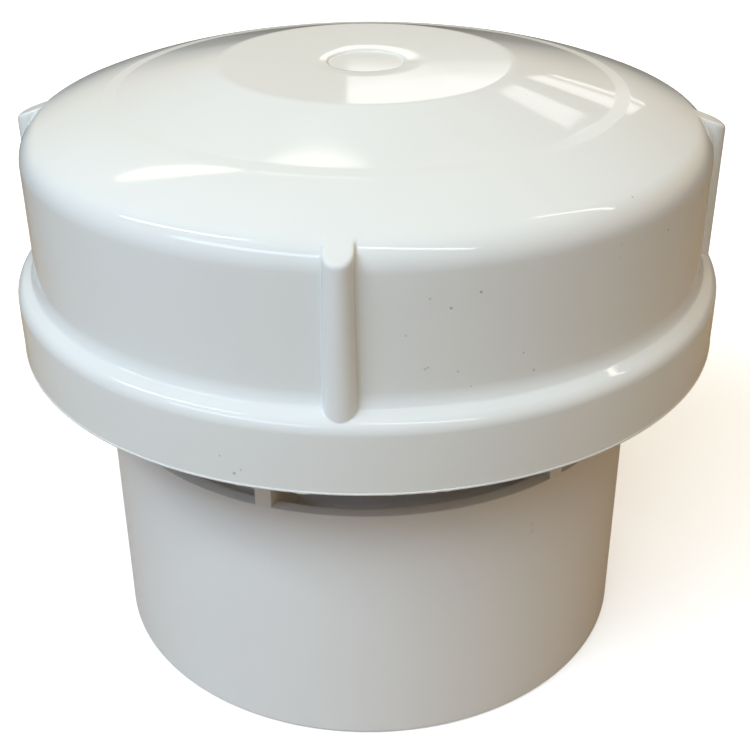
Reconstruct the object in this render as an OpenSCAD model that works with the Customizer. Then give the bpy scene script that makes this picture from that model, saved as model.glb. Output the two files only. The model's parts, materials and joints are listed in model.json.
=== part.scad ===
// Air admittance valve for a soil stack: a plain spigot with air windows round its top,
// a domed cap with grip ribs and a skirt, and a rubber diaphragm that gravity closes.
// Millimetres, +Z up, origin at the centre of the spigot's lower end.

/* [Spigot] */
// Outside diameter of the spigot
spigot_d = 110; // [90:0.5:140]
// Wall of the spigot
spigot_wall = 3.2; // [2.4:0.1:4.5]
// Height of the spigot, up to the sill of the air windows
sill_z = 53; // [40:0.5:80]
// Bevel on the spigot's lower outer edge
spigot_bevel = 0.6; // [0.2:0.1:1.5]

/* [Air inlet] */
// Number of air windows, with one web between each two
window_count = 6; // [4:1:10]
// Height of each air window, from the sill to the flange
window_h = 23; // [16:0.5:30]
// Thickness of the webs between the windows
web_t = 3.2; // [2:0.1:5]
// How far the web ends lie inside the spigot's outside
web_inset = 0.15; // [0.1:0.05:0.5]
// Depth of the gutter behind the sill
gutter_depth = 10; // [5:0.5:18]
// Slope of the gutter's floor, in degrees
gutter_slope = 20; // [5:1:35]
// Bore of the throat that leads down to the stack
throat_d = 80; // [60:0.5:84]
// Wall of the throat and of the gutter's floor
throat_wall = 2.8; // [2:0.1:4]

/* [Flange and seats] */
// Thickness of the flange that carries the cap
flange_t = 3.4; // [2.4:0.1:5]
// Height of both valve seats above the flange
seat_h = 2; // [1:0.1:3]
// Width of the flat land on each seat
seat_land = 1.4; // [0.8:0.1:2.5]
// Width of each seat at its foot
seat_foot = 2.6; // [2:0.1:4]
// Wall of the upstand that centres the cap
upstand_t = 2.2; // [1.6:0.1:3]
// Height of the upstand above the flange
upstand_h = 4; // [2:0.1:8]

/* [Cap] */
// Height of the cap, from the skirt's lower edge to the top disc
cap_h = 52; // [46:0.5:70]
// How far the cap's wall stands out beyond the spigot
cap_overhang = 11.3; // [10:0.1:18]
// Wall of the cap
cap_wall = 2.5; // [1.8:0.1:3.5]
// How far the skirt stands out beyond the cap's wall
skirt_step = 3.9; // [3:0.1:7]
// How far the skirt hangs below the flange's upper face
skirt_depth = 11.4; // [6:0.1:18]
// Thickness of the step that rests on the flange
step_t = 2.6; // [2:0.1:5]
// Outer rounding of the step
step_round = 3; // [1.5:0.1:3.5]
// Slope of the step's upper face, in degrees
step_slope = 30; // [15:1:40]
// Fillet between the step and the cap's wall
step_fillet = 1.8; // [0.8:0.1:2.4]
// Bevel on the skirt's lower outer edge
skirt_bevel = 0.4; // [0.2:0.1:1]
// Clearance between the cap and the body, each side
cap_fit = 0.3; // [0.1:0.05:0.6]

/* [Dome] */
// Diameter of the flat disc on top
disc_d = 56.6; // [40:0.2:70]
// Diameter of the gate recess's floor
recess_d = 14.2; // [8:0.2:24]
// Width of the slope round the recess's floor
recess_slope_w = 3.9; // [1:0.1:8]
// Depth of the gate recess
recess_depth = 0.7; // [0.3:0.1:1.2]
// How far the ring band's outer edge lies inside the cap's wall
band_inset = 16.3; // [10:0.1:20]
// Width of the ring band
band_w = 2.6; // [1.5:0.1:5]
// Slope of the ring band, in degrees
band_slope = 8.7; // [2:0.1:12]
// Slope of the cone between the disc and the band, in degrees
cone_slope = 13.3; // [8:0.1:20]
// Slope of the outer dome where it leaves the band, in degrees
dome_slope = 13; // [8:0.1:20]
// Radius of the outer dome's section
dome_r = 73; // [55:0.5:120]
// Rounding between the dome and the cap's wall
shoulder_r = 6; // [3.5:0.1:10]

/* [Grip ribs] */
// Number of grip ribs round the cap
rib_count = 4; // [2:1:12]
// Width of each rib
rib_w = 5.3; // [3:0.1:8]
// How far each rib stands out from the cap's wall
rib_reach = 2.9; // [1.5:0.1:3.6]
// Rounding of each rib's upper outer edge
rib_edge = 1.5; // [0.6:0.1:2]
// Turn of the cap on the body, in degrees
cap_turn = -13.35; // [-45:0.05:45]

/* [Diaphragm] */
// Thickness of the rubber diaphragm
rubber_t = 1.5; // [0.8:0.1:3]
// How far the rubber reaches past each seat's land
rubber_lap = 2.8; // [1:0.1:3.5]
// Lift of the diaphragm from its seats to its stop
lift = 10; // [5:0.5:12]
// Gap left at the lift stop
stop_gap = 0.3; // [0.2:0.05:1]

/* [Carrier and retainer] */
// Thickness of the carrier's ring and of the retainer
carrier_t = 1.8; // [1.2:0.1:3]
// Width of the clamped border inside the throat
clamp_w = 5; // [4:0.1:8]
// Running clearance between the retainer and the throat
clamp_clear = 0.8; // [0.4:0.1:2]
// Width of the stiffening rim round the carrier
rim_w = 1.6; // [1:0.1:3]
// Height of the stiffening rim above the carrier's ring
rim_h = 2.2; // [1:0.1:4]
// How far the carrier's edge lies inside the outer seat's land
carrier_inset = 3.6; // [2:0.1:8]
// Number of spokes in the carrier, and of retainer pegs between them
spoke_count = 6; // [3:1:8]
// Width of each spoke
spoke_w = 2.4; // [1.6:0.1:4]
// Height of each spoke
spoke_h = 4; // [2:0.1:6]
// Diameter of the hub
hub_d = 15; // [13:0.5:24]
// Diameter of the guide stem
stem_d = 8; // [5:0.5:10]
// Clearance between the stem and its guide, each side
guide_clear = 0.35; // [0.2:0.05:0.6]
// Wall of the guide tube under the dome
guide_wall = 2.2; // [1.6:0.1:3]
// Room above the stem at full lift
stem_room = 1.2; // [0.5:0.1:4]
// Diameter of the retainer's pegs
peg_d = 2.6; // [2:0.1:3]
// Diameter of the heads that are formed on the pegs
peg_head_d = 4.2; // [3.4:0.1:5]
// Height of those heads
peg_head_h = 0.9; // [0.5:0.1:1.5]
// Clearance round each peg, each side
peg_clear = 0.15; // [0.05:0.05:0.3]

/* [Hidden] */
$fn = 96;
ARC_STEPS = 6;
OVERCUT = 1;

// Spigot, windows and throat
spigot_r = spigot_d / 2;
spigot_in_r = spigot_r - spigot_wall;
web_r = spigot_r - web_inset;
throat_r = throat_d / 2;
throat_out_r = throat_r + throat_wall;
gutter_z = sill_z - gutter_depth;
gutter_drop = throat_wall / cos(gutter_slope);

// Flange, seats and upstand
flange_z = sill_z + window_h;
flange_top = flange_z + flange_t;
seat_top = flange_top + seat_h;
inner_seat_r = throat_r + throat_wall / 2;
passage_r = spigot_in_r;
outer_seat_r = passage_r + seat_foot / 2;
skirt_r = spigot_r + cap_overhang + skirt_step;
flange_r = skirt_r - cap_wall - cap_fit;

// Cap: the wall, the skirt and the step that rests on the flange
cap_r = spigot_r + cap_overhang;
cap_in_r = cap_r - cap_wall;
skirt_in_r = skirt_r - cap_wall;
skirt_z = flange_top - skirt_depth;
upstand_r = cap_in_r - cap_fit;
step_c = [skirt_r - step_round, flange_top + step_t - step_round];
step_n = [sin(step_slope), cos(step_slope)];
step_end = step_c + step_round * step_n;
fillet_r = cap_r + step_fillet;
fillet_c = [fillet_r, step_end.y + (step_fillet - (fillet_r - step_end.x) * step_n.x) / step_n.y];
fillet_foot = fillet_c - step_fillet * step_n;

// Dome: flat disc, cone, ring band, then one arc down to the rounded shoulder
disc_r = disc_d / 2;
disc_z = skirt_z + cap_h;
band_r = cap_r - band_inset;
band_in_r = band_r - band_w;
band_in_z = disc_z - (band_in_r - disc_r) * tan(cone_slope);
band_z = band_in_z - band_w * tan(band_slope);
dome_c = [band_r - dome_r * sin(dome_slope), band_z - dome_r * cos(dome_slope)];
recess_r = recess_d / 2;

// Grip ribs
rib_crown_r = cap_r + rib_reach;
rib_axis_r = rib_crown_r - rib_w / 2;
rib_sink = 0.1;
rib_spare = 0.4;
rib_foot_z = step_c.y + rib_spare;

// Diaphragm, carrier and retainer, stacked on the seats
clamp_r = throat_r - clamp_clear;
clamp_in_r = clamp_r - clamp_w;
peg_r = clamp_r - clamp_w / 2;
rubber_r = outer_seat_r + seat_land / 2 + rubber_lap;
rubber_top = seat_top + rubber_t;
carrier_r = outer_seat_r - seat_land / 2 - carrier_inset;
carrier_top = rubber_top + carrier_t;
hub_top = rubber_top + max(spoke_h, carrier_t);
retainer_z = seat_top - carrier_t;

// Guide: the stem slides in a tube under the dome, whose lower end stops the hub
stem_r = stem_d / 2;
dome_under = disc_z - recess_depth - cap_wall;
guide_r = stem_r + guide_clear;
guide_z = hub_top + lift + stop_gap;
stem_top = dome_under - lift - stem_room;

// Height of the dome's arc at a radius, for a section that lies deeper by inset
function dome_z(r, inset) = dome_c.y + sqrt(pow(dome_r - inset, 2) - pow(r - dome_c.x, 2));

// Places a shape at even angles round the axis
module around(count, turn = 0) {
  for (i = [0 : count - 1])
    rotate([0, 0, turn + i * 360 / count])
      children();
}

// Flat ring between two heights
module ring(outer_r, inner_r, low, high) {
  rotate_extrude()
    translate([inner_r, low])
      square([outer_r - inner_r, high - low]);
}

// Height of the gutter's floor at a radius
function gutter_floor(r) = gutter_z + (spigot_in_r - r) * tan(gutter_slope);

// Section of the spigot, the gutter's floor, the throat and the inner seat
module spigot_section() {
  polygon([
    [spigot_in_r, 0],
    [spigot_r - spigot_bevel, 0],
    [spigot_r, spigot_bevel],
    [spigot_r, sill_z],
    [spigot_in_r, sill_z],
    [spigot_in_r, gutter_z],
    [throat_out_r, gutter_floor(throat_out_r)],
    [throat_out_r, flange_top],
    [inner_seat_r + seat_land / 2, seat_top],
    [inner_seat_r - seat_land / 2, seat_top],
    [throat_r, flange_top],
    [throat_r, gutter_floor(throat_r) - gutter_drop],
    [spigot_in_r, gutter_z - gutter_drop]
  ]);
}

// Section of the flange, the outer seat and the upstand
module flange_section() {
  seat_side = (seat_foot - seat_land) / 2;
  polygon([
    [passage_r, flange_z],
    [flange_r, flange_z],
    [flange_r, flange_top],
    [upstand_r, flange_top],
    [upstand_r, flange_top + upstand_h],
    [upstand_r - upstand_t, flange_top + upstand_h],
    [upstand_r - upstand_t, flange_top],
    [passage_r + seat_foot, flange_top],
    [passage_r + seat_foot - seat_side, seat_top],
    [passage_r + seat_side, seat_top],
    [passage_r, flange_top]
  ]);
}

// Upright web from the throat to the spigot's outside, rooted in the gutter's floor and the flange
module web() {
  root_drop = gutter_drop / 2;
  web_top = flange_z + flange_t / 2;
  rotate([90, 0, 0])
    linear_extrude(web_t, center = true)
      polygon([
        [inner_seat_r, gutter_floor(inner_seat_r) - root_drop],
        [web_r, gutter_floor(web_r) - root_drop],
        [web_r, web_top],
        [inner_seat_r, web_top]
      ]);
}

// Points along an arc about a centre
function arc(c, r, from, to) =
  [for (i = [0 : ARC_STEPS])
    let (a = from + (to - from) * i / ARC_STEPS)
    c + r * [cos(a), sin(a)]];

// Outline from a wall over its rounded edge, the dome, the band and the disc, all set in by inset
function dome_outline(wall_r, edge_r, inset) =
  let (
    edge_x = wall_r - edge_r,
    edge_c = [edge_x, dome_z(edge_x, edge_r)],
    edge_a = atan2(edge_c.y - dome_c.y, edge_c.x - dome_c.x),
    band_a = acos((band_r - dome_c.x) / (dome_r - inset))
  )
  concat(
    arc(edge_c, edge_r - inset, 0, edge_a),
    arc(dome_c, dome_r - inset, edge_a, band_a),
    [
      [band_in_r, band_in_z - inset / cos(cone_slope)],
      [disc_r, disc_z - inset],
      [0, disc_z - inset]
    ]
  );

// Outline of the skirt and of the step above it, up to the wall's fillet
function skirt_outline() = concat(
  [
    [0, skirt_z],
    [skirt_r - skirt_bevel, skirt_z],
    [skirt_r, skirt_z + skirt_bevel]
  ],
  arc(step_c, step_round, 0, 90 - step_slope),
  arc(fillet_c, step_fillet, 270 - step_slope, 180)
);

// Hollow of the cap, with the guide tube left standing under the dome
module cap_hollow_section() {
  difference() {
    polygon(concat(
      [
        [0, skirt_z - OVERCUT],
        [skirt_in_r, skirt_z - OVERCUT],
        [skirt_in_r, flange_top],
        [cap_in_r, flange_top]
      ],
      dome_outline(cap_r, shoulder_r, cap_wall)
    ));
    translate([guide_r, guide_z])
      square([guide_wall, disc_z - guide_z]);
  }
}

// Recess that the moulding gate leaves in the middle of the disc
module recess_section() {
  polygon([
    [0, disc_z - recess_depth],
    [recess_r, disc_z - recess_depth],
    [recess_r + recess_slope_w, disc_z],
    [recess_r + recess_slope_w, disc_z + OVERCUT],
    [0, disc_z + OVERCUT]
  ]);
}

// Half-round grip ribs, cut off at the top along the dome's own arc
module grip_ribs() {
  intersection() {
    around(rib_count, cap_turn)
      translate([rib_axis_r, 0, rib_foot_z])
        cylinder(d = rib_w, h = disc_z - rib_foot_z);
    rotate_extrude()
      polygon(concat(
        [[0, skirt_z], [rib_crown_r + rib_spare - rib_sink, skirt_z]],
        dome_outline(rib_crown_r + rib_spare, rib_edge + rib_spare, rib_sink)
      ));
  }
}

module body() {
  color("whitesmoke") {
    rotate_extrude()
      spigot_section();
    rotate_extrude()
      flange_section();
    around(window_count)
      web();
  }
}

module cap() {
  color("white")
  difference() {
    union() {
      rotate_extrude()
        polygon(concat(skirt_outline(), dome_outline(cap_r, shoulder_r, 0)));
      grip_ribs();
    }
    rotate_extrude()
      cap_hollow_section();
    rotate_extrude()
      recess_section();
  }
}

module peg_holes() {
  around(spoke_count, 180 / spoke_count)
    translate([peg_r, 0, seat_top - OVERCUT])
      cylinder(r = peg_d / 2 + peg_clear, h = carrier_top - seat_top + 2 * OVERCUT);
}

module diaphragm() {
  color("dimgray")
  difference() {
    ring(rubber_r, clamp_in_r, seat_top, rubber_top);
    peg_holes();
  }
}

module diaphragm_carrier() {
  color("lightgray")
  difference() {
    union() {
      ring(carrier_r, clamp_in_r, rubber_top, carrier_top);
      ring(carrier_r, carrier_r - rim_w, rubber_top, carrier_top + rim_h);
      intersection() {
        around(spoke_count)
          translate([0, -spoke_w / 2, rubber_top])
            cube([carrier_r, spoke_w, spoke_h]);
        translate([0, 0, rubber_top])
          cylinder(r = carrier_r - rim_w / 2, h = spoke_h);
      }
      translate([0, 0, rubber_top])
        cylinder(d = hub_d, h = hub_top - rubber_top);
      translate([0, 0, rubber_top])
        cylinder(r = stem_r, h = stem_top - rubber_top);
    }
    peg_holes();
  }
}

module retainer_ring() {
  color("silver") {
    ring(clamp_r, clamp_in_r, retainer_z, seat_top);
    around(spoke_count, 180 / spoke_count)
      translate([peg_r, 0, retainer_z]) {
        cylinder(d = peg_d, h = carrier_top - retainer_z);
        translate([0, 0, carrier_top - retainer_z])
          cylinder(d = peg_head_d, h = peg_head_h);
      }
  }
}

body();
cap();
diaphragm();
diaphragm_carrier();
retainer_ring();
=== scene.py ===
"""Looks of an air admittance valve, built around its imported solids.

The valve stands on the end of its spigot, +Z up. The sizes in the classes are
in millimetres, and every mesh is in metres, in the frame of the solids.
"""

import json
import logging
import math
from collections.abc import Iterable, Sequence
from dataclasses import dataclass, field
from enum import Enum
from itertools import pairwise
from typing import Any, NamedTuple

import bmesh
import bpy
from mathutils import Matrix, Vector

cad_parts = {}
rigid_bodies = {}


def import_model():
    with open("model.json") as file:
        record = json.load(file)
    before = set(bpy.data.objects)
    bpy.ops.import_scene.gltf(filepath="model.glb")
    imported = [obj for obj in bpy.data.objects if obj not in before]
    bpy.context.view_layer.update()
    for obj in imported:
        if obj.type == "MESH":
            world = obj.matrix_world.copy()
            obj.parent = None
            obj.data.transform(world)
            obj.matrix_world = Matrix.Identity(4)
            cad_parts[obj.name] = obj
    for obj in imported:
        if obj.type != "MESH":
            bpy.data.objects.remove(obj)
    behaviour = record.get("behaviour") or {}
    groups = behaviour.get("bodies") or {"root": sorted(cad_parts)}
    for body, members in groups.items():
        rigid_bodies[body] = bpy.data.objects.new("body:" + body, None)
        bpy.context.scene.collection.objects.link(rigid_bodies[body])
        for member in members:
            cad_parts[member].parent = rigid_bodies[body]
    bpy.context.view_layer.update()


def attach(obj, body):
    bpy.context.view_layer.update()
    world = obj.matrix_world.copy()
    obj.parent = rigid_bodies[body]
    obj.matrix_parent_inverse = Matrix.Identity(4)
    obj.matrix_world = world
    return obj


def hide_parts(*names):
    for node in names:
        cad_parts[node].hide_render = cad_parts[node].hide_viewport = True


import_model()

MM = 0.001
AXIS = Vector((0.0, 0.0, 1.0))
ORIGIN = Vector((0.0, 0.0, 0.0))
WELD = 1e-6
FLUSH = 1e-4
ROUNDING_SHARE = 0.4
GUARD_ROOM = 3.0
UNIT = (0.0, 1.0)
FADE = (1.0, 0.0)
NOISE_SPREAD = (0.3, 0.7)
WHITE = (1.0, 1.0, 1.0)
LOG = logging.getLogger("valve")

Colour = tuple[float, float, float]
Place = tuple[float, float, float]
Point = tuple[float, float]
Mesh = bmesh.types.BMesh
Piece = bpy.types.Object
Material = bpy.types.Material


class Body(Enum):
    """The two bodies of the valve, one fixed and one that lifts."""

    HOUSING = "housing"
    VALVE_DISC = "valve_disc"


class Slot(Enum):
    """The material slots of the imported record."""

    BODY = "body_pvc"
    CAP = "cap_pvc"
    RUBBER = "diaphragm_rubber"
    CARRIER = "carrier_plastic"


class Carving(Enum):
    """What one mesh does to another."""

    JOIN = "UNION"
    CUT = "DIFFERENCE"


class LampShape(Enum):
    """The outline of a lamp's face."""

    PANEL = "RECTANGLE"
    OVAL = "ELLIPSE"


class Corner(NamedTuple):
    """A point of a turned outline, with how far its rounding reaches."""

    r: float
    z: float
    soft: float = 0.0


def arc(centre: Point, radius: float, start: float, end: float, steps: int) -> list[Corner]:
    """Samples an arc of an outline.

    Args:
        centre: Radius and height of the arc's centre.
        radius: Radius of the arc.
        start: First angle, in degrees above the horizontal.
        end: Last angle, in degrees.
        steps: Number of equal parts.

    Returns:
        The points from start to end.
    """
    turns = [math.radians(start + (end - start) * k / steps) for k in range(steps + 1)]
    return [Corner(centre[0] + radius * math.cos(t), centre[1] + radius * math.sin(t)) for t in turns]


def rounded(before: Corner, at: Corner, after: Corner, steps: int = 3, guard: float = 0.2) -> list[Corner]:
    """Rounds one corner, with a guard point on each side that keeps the sides flat.

    Args:
        before: The point before the corner.
        at: The corner.
        after: The point after the corner.
        steps: Number of parts in the rounding.
        guard: Distance of the guard points from the rounding.

    Returns:
        The points that take the corner's place.
    """
    tip = Vector((at.r, at.z))
    back = Vector((before.r, before.z)) - tip
    ahead = Vector((after.r, after.z)) - tip
    reach = min(at.soft, ROUNDING_SHARE * back.length, ROUNDING_SHARE * ahead.length)
    first = tip + back.normalized() * reach
    last = tip + ahead.normalized() * reach
    points = []
    if back.length > GUARD_ROOM * (reach + guard):
        points.append(first + back.normalized() * guard)
    for k in range(steps + 1):
        t = k / steps
        points.append(first.lerp(tip, t).lerp(tip.lerp(last, t), t))
    if ahead.length > GUARD_ROOM * (reach + guard):
        points.append(last + ahead.normalized() * guard)
    return [Corner(p.x, p.y) for p in points]


def softened(rows: Iterable[Sequence[float]], closed: bool = False) -> list[Corner]:
    """Rounds the corners of an outline that ask for it.

    Args:
        rows: Radius and height of the outline's points in order, and their rounding, if any.
        closed: Whether the last point joins the first.

    Returns:
        The outline with its roundings.
    """
    corners = [Corner(*row) for row in rows]
    ends = (corners[-1], corners[0]) if closed else (corners[0], corners[-1])
    padded = [ends[0], *corners, ends[1]]
    outline: list[Corner] = []
    for before, at, after in zip(padded, padded[1:], padded[2:]):
        outline += rounded(before, at, after) if at.soft else [at]
    return outline


def section_mesh(outline: Sequence[Corner], closed: bool) -> tuple[Mesh, list[Any]]:
    """Starts a mesh from an outline that stands on the XZ plane.

    Args:
        outline: The outline's points.
        closed: Whether the outline is a loop.

    Returns:
        The mesh, and the outline's vertices and edges in it.
    """
    bm = bmesh.new()
    verts = [bm.verts.new((c.r * MM, 0.0, c.z * MM)) for c in outline]
    loop = verts + verts[:1] if closed else verts
    edges = [bm.edges.new(pair) for pair in pairwise(loop)]
    return bm, [*verts, *edges]


def closed_up(bm: Mesh) -> Mesh:
    """Merges the seam and the poles of a mesh and turns its faces outwards.

    Args:
        bm: The mesh.

    Returns:
        The same mesh.
    """
    bmesh.ops.remove_doubles(bm, verts=bm.verts, dist=WELD)
    bmesh.ops.recalc_face_normals(bm, faces=bm.faces)
    return bm


def turned(rows: Iterable[Sequence[float]], closed: bool = True, columns: int = 192) -> Mesh:
    """Turns an outline, with its corners rounded, once round the valve's axis.

    Args:
        rows: The outline's points, as softened takes them.
        closed: Whether the outline is a loop, or else runs from axis to axis.
        columns: Number of steps round the axis.

    Returns:
        The turned mesh.
    """
    bm, geom = section_mesh(softened(rows, closed), closed)
    bmesh.ops.spin(
        bm, geom=geom, cent=ORIGIN, axis=AXIS, dvec=ORIGIN, angle=math.tau, steps=columns,
        use_merge=True, use_normal_flip=False, use_duplicate=False,
    )
    return closed_up(bm)


def slab(corners: Sequence[Point], thickness: float, edge: float) -> Mesh:
    """Makes an upright slab on the XZ plane, with its outer upright edges eased.

    Args:
        corners: Radius and height of the slab's corners.
        thickness: Thickness across the plane.
        edge: Width of the bevel on the outermost edges.

    Returns:
        The slab's mesh.
    """
    bm = bmesh.new()
    face = bm.faces.new([bm.verts.new((r * MM, -thickness / 2 * MM, z * MM)) for r, z in corners])
    grown = bmesh.ops.extrude_face_region(bm, geom=[face])["geom"]
    moved = [g for g in grown if isinstance(g, bmesh.types.BMVert)]
    bmesh.ops.translate(bm, verts=moved, vec=(0.0, thickness * MM, 0.0))
    bmesh.ops.recalc_face_normals(bm, faces=bm.faces)
    far = max(r for r, _ in corners) * MM - WELD
    upright = [e for e in bm.edges if abs(e.verts[0].co.y - e.verts[1].co.y) < WELD]
    outer = [e for e in upright if all(v.co.x > far for v in e.verts)]
    bmesh.ops.bevel(
        bm, geom=outer, offset=edge * MM, offset_type="OFFSET", affect="EDGES", segments=3, profile=0.5,
        material=-1,
    )
    return bm


def ringed(bm: Mesh, count: int, turn: float = 0.0) -> Mesh:
    """Repeats a mesh at even angles round the axis.

    Args:
        bm: The mesh to repeat.
        count: Number of copies in all.
        turn: Angle of the first copy, in degrees.

    Returns:
        The same mesh with its copies.
    """
    bmesh.ops.rotate(bm, verts=bm.verts, cent=ORIGIN, matrix=Matrix.Rotation(math.radians(turn), 3, "Z"))
    geom = [*bm.verts, *bm.edges, *bm.faces]
    more = count - 1
    bmesh.ops.spin(
        bm, geom=geom, cent=ORIGIN, axis=AXIS, dvec=ORIGIN, angle=math.tau * more / count, steps=more,
        use_merge=False, use_normal_flip=False, use_duplicate=True,
    )
    return bm


def as_object(bm: Mesh, name: str) -> Piece:
    """Puts a finished mesh in the scene.

    Args:
        bm: The mesh, which is freed.
        name: Name of the object.

    Returns:
        The new object at the origin.
    """
    mesh = bpy.data.meshes.new(name)
    bm.to_mesh(mesh)
    bm.free()
    piece = bpy.data.objects.new(name, mesh)
    bpy.context.scene.collection.objects.link(piece)
    return piece


def carve(piece: Piece, bm: Mesh, carving: Carving) -> None:
    """Joins a mesh to a piece or cuts it out of the piece.

    Args:
        piece: The object that is changed.
        bm: The other mesh, which is used up.
        carving: What the other mesh does.
    """
    tool = as_object(bm, piece.name + "_tool")
    step = piece.modifiers.new("carve", "BOOLEAN")
    step.operation = carving.value
    step.solver = "EXACT"
    step.object = tool
    graph = bpy.context.evaluated_depsgraph_get()
    result = bpy.data.meshes.new_from_object(piece.evaluated_get(graph))
    piece.modifiers.clear()
    old, piece.data = piece.data, result
    result.name = piece.name
    bpy.data.batch_remove((tool, tool.data, old))


def soft_min(a: float, b: float, width: float) -> float:
    """Gives the smaller of two values, eased where they are within width of each other."""
    ease = max(width - abs(a - b), 0.0)
    return min(a, b) - ease * ease / (4.0 * width)


class Graph:
    """The nodes of one material or world."""

    def __init__(self, tree: bpy.types.NodeTree) -> None:
        """Clears a tree of nodes and takes it over.

        Args:
            tree: The tree of a material or of the world.
        """
        self.tree = tree
        tree.nodes.clear()
        self.coords = self.add("TexCoord").outputs
        self.place = self.coords["Object"]

    def add(self, kind: str, inputs: dict[str | int, Any] | None = None, **settings: Any) -> bpy.types.Node:
        """Adds a node.

        Args:
            kind: Type of the node, without its ShaderNode.
            inputs: Values or output sockets for its inputs.
            **settings: Properties of the node.

        Returns:
            The new node.
        """
        node = self.tree.nodes.new("ShaderNode" + kind)
        for name, value in settings.items():
            setattr(node, name, value)
        for name, value in (inputs or {}).items():
            if isinstance(value, bpy.types.NodeSocket):
                self.tree.links.new(value, node.inputs[name])
            else:
                node.inputs[name].default_value = value
        return node

    def math(self, operation: str, a: Any, b: Any) -> Any:
        """Works out one step of arithmetic and returns its output."""
        return self.add("Math", {0: a, 1: b}, operation=operation).outputs[0]

    def length(self, way: Any) -> Any:
        """Measures a vector and returns the output."""
        return self.add("VectorMath", {0: way}, operation="LENGTH").outputs["Value"]

    def noise(self, size: float, detail: float) -> Any:
        """Adds noise on the Object coordinates, with features of a size in millimetres."""
        inputs = {"Vector": self.place, "Scale": 1.0 / (size * MM), "Detail": detail, "Roughness": 0.55}
        return self.add("TexNoise", inputs).outputs[0]

    def ranged(self, value: Any, source: Point, target: Point) -> Any:
        """Maps a value from one range to another, without going past it, and returns the output."""
        inputs = {0: value, 1: source[0], 2: source[1], 3: target[0], 4: target[1]}
        return self.add("MapRange", inputs, clamp=True).outputs[0]

    def mixed(self, share: Any, first: Any, second: Any) -> Any:
        """Mixes two colours.

        Args:
            share: How much of the second colour there is, from 0 to 1.
            first: The first colour, or its output.
            second: The second colour, or its output.

        Returns:
            The output for the colour.
        """
        node = self.add("Mix", {0: share}, data_type="RGBA")
        for socket, value in ((node.inputs[6], first), (node.inputs[7], second)):
            if isinstance(value, bpy.types.NodeSocket):
                self.tree.links.new(value, socket)
            else:
                socket.default_value = (*value, 1.0)
        return node.outputs[2]

    def surface(self, base: Any, rough: Any, height: Any, depth: float, index: float) -> None:
        """Ends a material in its shader.

        Args:
            base: Colour of the surface.
            rough: Its roughness.
            height: Its relief, from 0 to 1.
            depth: Depth of the relief, in millimetres.
            index: Refractive index.
        """
        bump = self.add("Bump", {"Height": height, "Strength": 1.0, "Distance": depth * MM})
        inputs = {"Base Color": base, "Roughness": rough, "Normal": bump.outputs[0], "IOR": index}
        shader = self.add("BsdfPrincipled", inputs)
        self.add("OutputMaterial", {"Surface": shader.outputs[0]})


def new_material(name: str) -> tuple[Material, Graph]:
    """Starts a material.

    Args:
        name: Name of the material.

    Returns:
        The material and its nodes.
    """
    made = bpy.data.materials.new(name)
    made.use_nodes = True
    return made, Graph(made.node_tree)


@dataclass(frozen=True)
class Mark:
    """A dark speck on a round surface.

    Its place is an angle in degrees, and a distance from the axis and a height in millimetres.
    """

    turn: float
    r: float
    z: float
    radius: float
    strength: float = 0.6

    @property
    def place(self) -> Vector:
        """The speck's place in metres."""
        a = math.radians(self.turn)
        return Vector((self.r * math.cos(a), self.r * math.sin(a), self.z)) * MM


@dataclass(frozen=True)
class Frosting:
    """A matt band round the axis: its radii and lowest height, in millimetres, and its roughness."""

    inner: float
    outer: float
    low: float
    rough: float
    edge: float = 0.15

    def over(self, graph: Graph, rough: Any) -> Any:
        """Lays the band over a surface.

        Args:
            graph: The material's nodes.
            rough: Roughness outside the band.

        Returns:
            The output for the roughness.
        """
        flat = graph.add("VectorMath", {0: graph.place, 1: (1.0, 1.0, 0.0)}, operation="MULTIPLY")
        reach = graph.length(flat.outputs[0])
        height = graph.add("SeparateXYZ", {0: graph.place}).outputs[2]
        high = graph.math("GREATER_THAN", height, self.low * MM)
        inner, outer, edge = (v * MM for v in (self.inner, self.outer, self.edge))
        begun = graph.ranged(reach, (inner - edge, inner + edge), UNIT)
        left = graph.ranged(reach, (outer - edge, outer + edge), FADE)
        share = graph.math("MULTIPLY", graph.math("MULTIPLY", begun, left), high)
        extra = graph.math("MULTIPLY", share, graph.math("SUBTRACT", self.rough, rough))
        return graph.math("ADD", rough, extra)


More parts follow.
